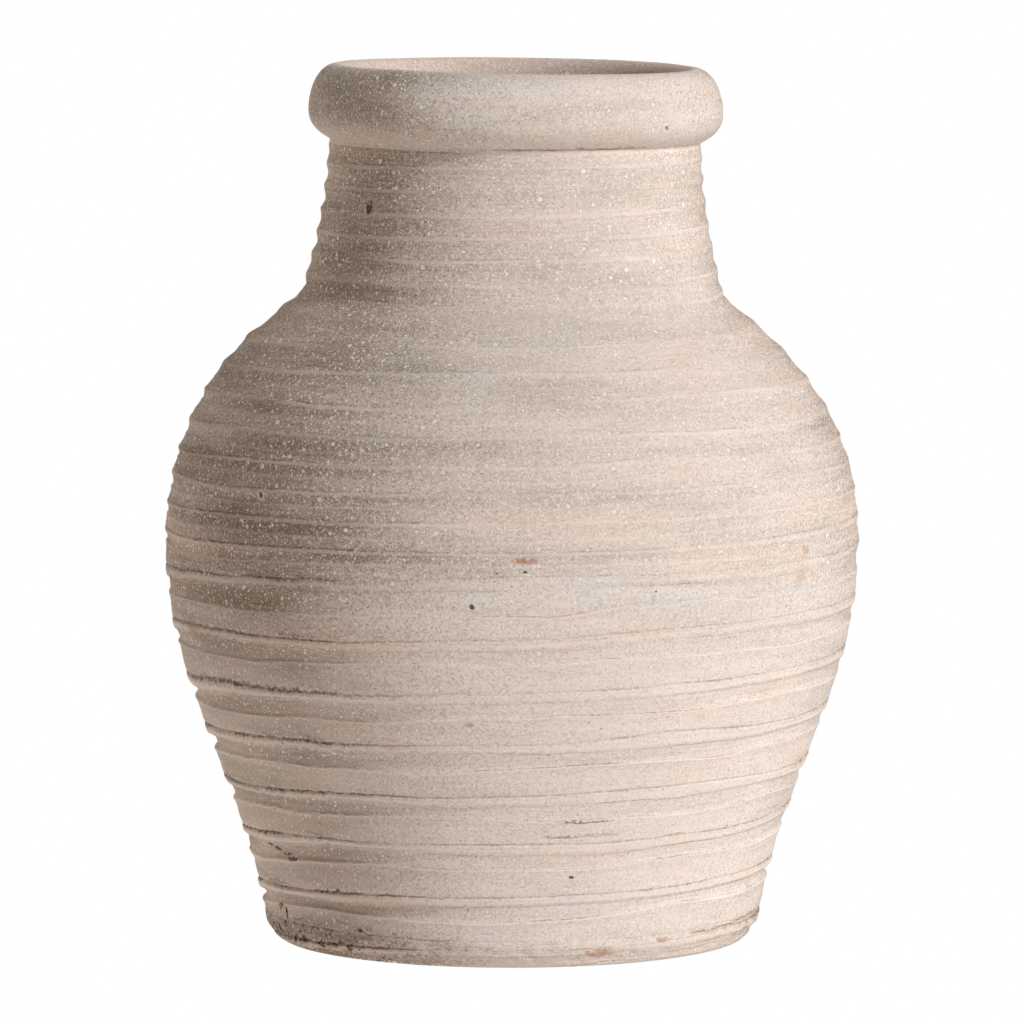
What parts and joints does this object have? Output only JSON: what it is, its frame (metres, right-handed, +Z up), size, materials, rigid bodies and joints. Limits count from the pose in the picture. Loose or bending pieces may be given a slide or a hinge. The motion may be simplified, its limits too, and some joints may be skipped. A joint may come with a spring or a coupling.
{
  "type": "storage jar",
  "caption": "Round-bellied open storage jar of coarse unglazed clay, thrown in sections that are luted together, with a ringed neck and a thick rolled rim.",
  "frame": {"origin": "centre of the flat face that the jar stands on", "axes": "+Z up along the jar's axis of revolution; -Y faces the camera of the picture, +X is to its right"},
  "size_m": [0.319, 0.319, 0.4015],
  "materials": {
    "clay_body": "unglazed coarse red clay with pale grog grains under a thin grey-beige clay wash, dead matt"
  },
  "bodies": {
    "root": {"floor_slab": "clay_body", "lower_wall": "clay_body", "upper_wall": "clay_body", "neck_collar": "clay_body", "rim_roll": "clay_body"}
  },
  "joints": []
}
